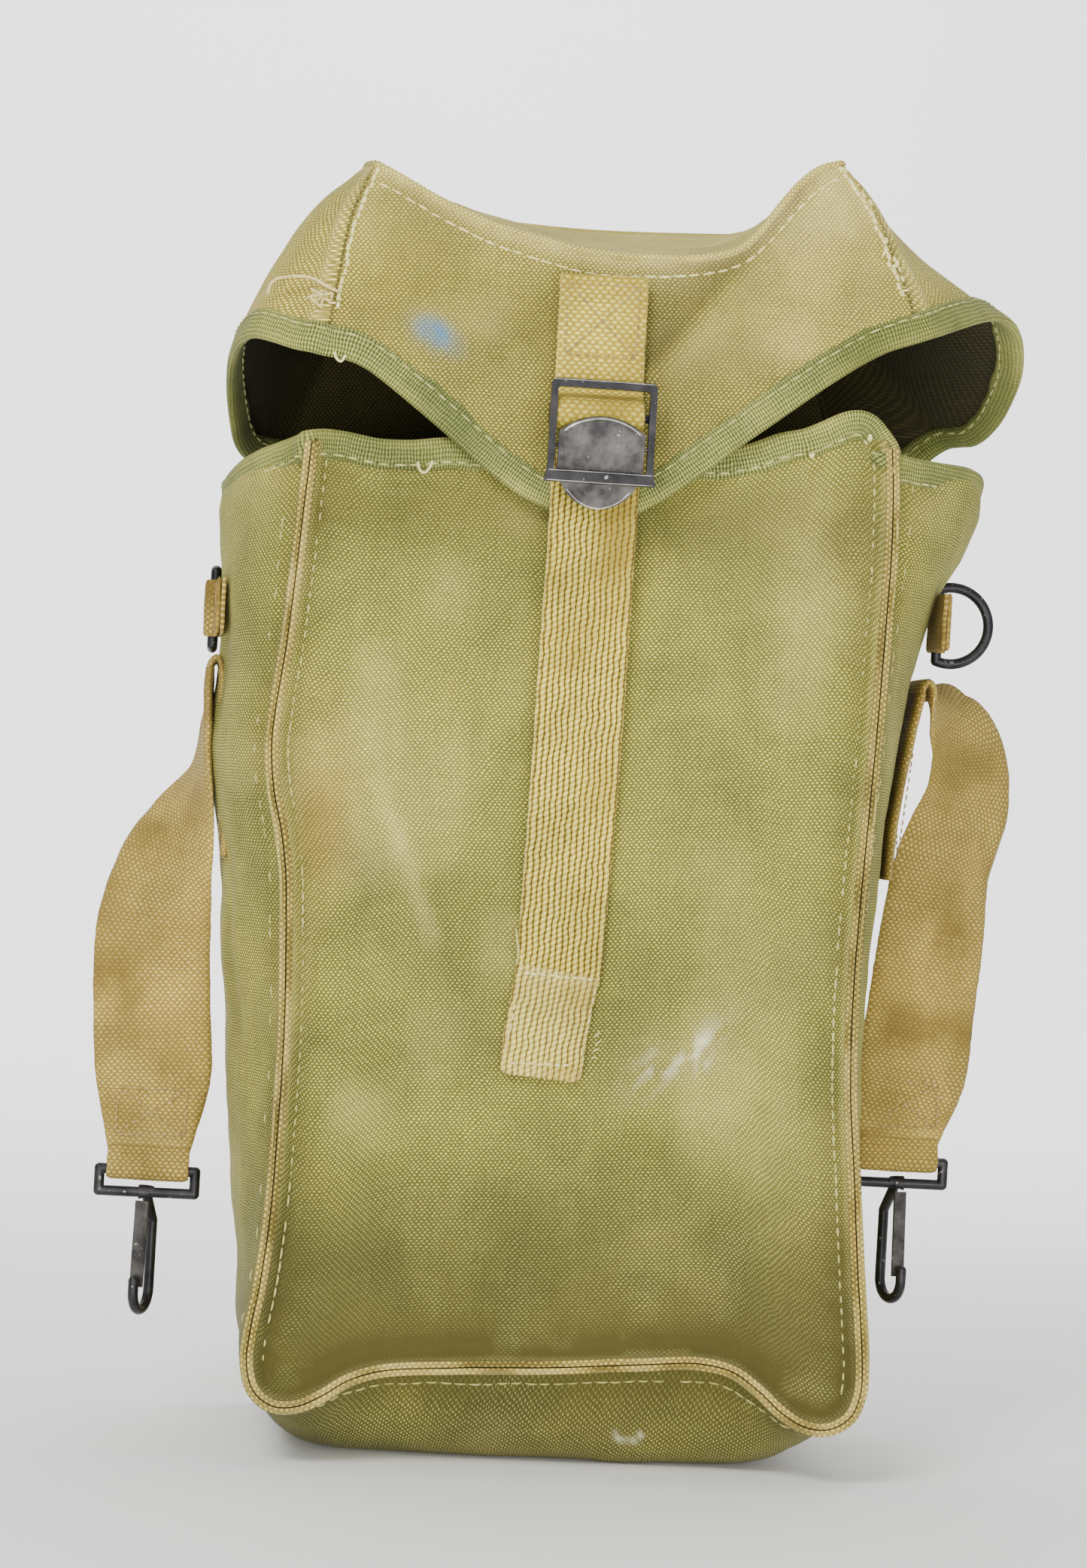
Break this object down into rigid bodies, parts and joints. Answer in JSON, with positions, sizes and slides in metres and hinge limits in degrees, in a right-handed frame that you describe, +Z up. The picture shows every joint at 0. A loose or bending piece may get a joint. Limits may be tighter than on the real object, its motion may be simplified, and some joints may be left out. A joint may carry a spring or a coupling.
{
  "type": "canvas carrying bag",
  "caption": "Small upright canvas carrying bag with a hood flap, a webbing closing strap with a cam buckle, ring tabs on the sides and hanging side straps with snap hooks.",
  "frame": {"origin": "middle of the flat underside, on the floor", "axes": "+Z up, the bag's front with the buckle faces -Y, +X to the right seen from the front"},
  "size_m": [0.2851, 0.1318, 0.392],
  "materials": {
    "canvas": "plain-weave cotton duck, faded olive drab, scuffed and stained",
    "seam_edge": "folded canvas edges of the standing seams, worn pale",
    "binding_tape": "cotton binding tape, greener olive, stitched",
    "webbing": "ribbed cotton webbing, khaki tan",
    "blackened_steel": "blackened steel, satin, bright at worn edges",
    "worn_steel": "blackened steel plate rubbed grey"
  },
  "bodies": {
    "bag": {"front_panel": "canvas", "front_seam": "seam_edge", "back_panel": "canvas", "back_seam": "seam_edge", "side_panel_left": "canvas", "side_panel_right": "canvas", "bottom_panel": "canvas", "mouth_binding": "binding_tape", "closing_strap_patch": "webbing", "ring_tab_left": "webbing", "ring_tab_right": "webbing", "carry_base_left": "webbing", "carry_base_right": "webbing"},
    "flap": {"flap_back": "canvas", "flap_top": "canvas", "flap_front": "canvas", "flap_wing_left": "canvas", "flap_wing_right": "canvas", "flap_binding_front": "binding_tape", "flap_binding_left": "binding_tape", "flap_binding_right": "binding_tape", "flap_strap": "webbing"},
    "buckle": {"buckle_frame": "blackened_steel", "buckle_axle": "blackened_steel"},
    "cam": {"buckle_cam": "worn_steel"},
    "closing_strap": {"closing_strap": "webbing"},
    "ring_left": {"d_ring_left": "blackened_steel"},
    "ring_right": {"d_ring_right": "blackened_steel"},
    "strap_left": {"carry_strap_left": "webbing"},
    "strap_right": {"carry_strap_right": "webbing"},
    "hook_left": {"snap_hook_left": "blackened_steel", "snap_collar_left": "blackened_steel"},
    "hook_right": {"snap_hook_right": "blackened_steel", "snap_collar_right": "blackened_steel"},
    "gate_left": {"snap_gate_left": "worn_steel"},
    "gate_right": {"snap_gate_right": "worn_steel"}
  },
  "joints": [
    {"name": "flap_fold", "type": "hinge", "parent": "bag", "child": "flap", "pos_m": [0, 0.0575, 0.3015], "axis": [-1, 0, 0], "range_deg": [0, 175]},
    {"name": "closing_strap_swing", "type": "hinge", "parent": "bag", "child": "closing_strap", "pos_m": [-0.0027, -0.0559, 0.1502], "axis": [1, 0, 0], "range_deg": [0, 18]},
    {"name": "buckle_swing", "type": "hinge", "parent": "flap", "child": "buckle", "pos_m": [-0.002, -0.067, 0.312], "axis": [-1, 0, 0], "range_deg": [0, 30]},
    {"name": "cam_rock", "type": "hinge", "parent": "buckle", "child": "cam", "pos_m": [-0.002, -0.0708, 0.3026], "axis": [1, 0, 0], "range_deg": [0, 7]},
    {"name": "ring_left_swing", "type": "hinge", "parent": "bag", "child": "ring_left", "pos_m": [-0.1114, 0, 0.252], "axis": [0, 0, 1], "range_deg": [0, 150]},
    {"name": "ring_right_swing", "type": "hinge", "parent": "bag", "child": "ring_right", "pos_m": [0.1135, 0, 0.2606], "axis": [0, 0, 1], "range_deg": [-80, 80]},
    {"name": "strap_left_swing", "type": "hinge", "parent": "bag", "child": "strap_left", "pos_m": [-0.1102, 0, 0.2325], "axis": [0, 1, 0], "range_deg": [0, 55]},
    {"name": "strap_right_swing", "type": "hinge", "parent": "bag", "child": "strap_right", "pos_m": [0.1092, 0, 0.2385], "axis": [0, -1, 0], "range_deg": [0, 55]},
    {"name": "hook_left_swing", "type": "hinge", "parent": "strap_left", "child": "hook_left", "pos_m": [-0.1219, 0, 0.0788], "axis": [1, 0, 0], "range_deg": [-60, 60]},
    {"name": "hook_right_swing", "type": "hinge", "parent": "strap_right", "child": "hook_right", "pos_m": [0.1104, 0, 0.0928], "axis": [1, 0, 0], "range_deg": [-60, 60]},
    {"name": "gate_left_spring", "type": "hinge", "parent": "hook_left", "child": "gate_left", "pos_m": [-0.12295, -0.0026, 0.0695], "axis": [0.9272, -0.3746, 0], "range_deg": [0, 14], "stiffness_Nm_per_rad": 0.05, "springref_deg": -2.86},
    {"name": "gate_right_spring", "type": "hinge", "parent": "hook_right", "child": "gate_right", "pos_m": [0.11145, -0.0026, 0.0835], "axis": [0.9272, 0.3746, 0], "range_deg": [0, 14], "stiffness_Nm_per_rad": 0.05, "springref_deg": -2.86}
  ],
  "couplings": [
    {"joint": "closing_strap_swing", "follows": "flap_fold", "ratio": 0.1}
  ]
}
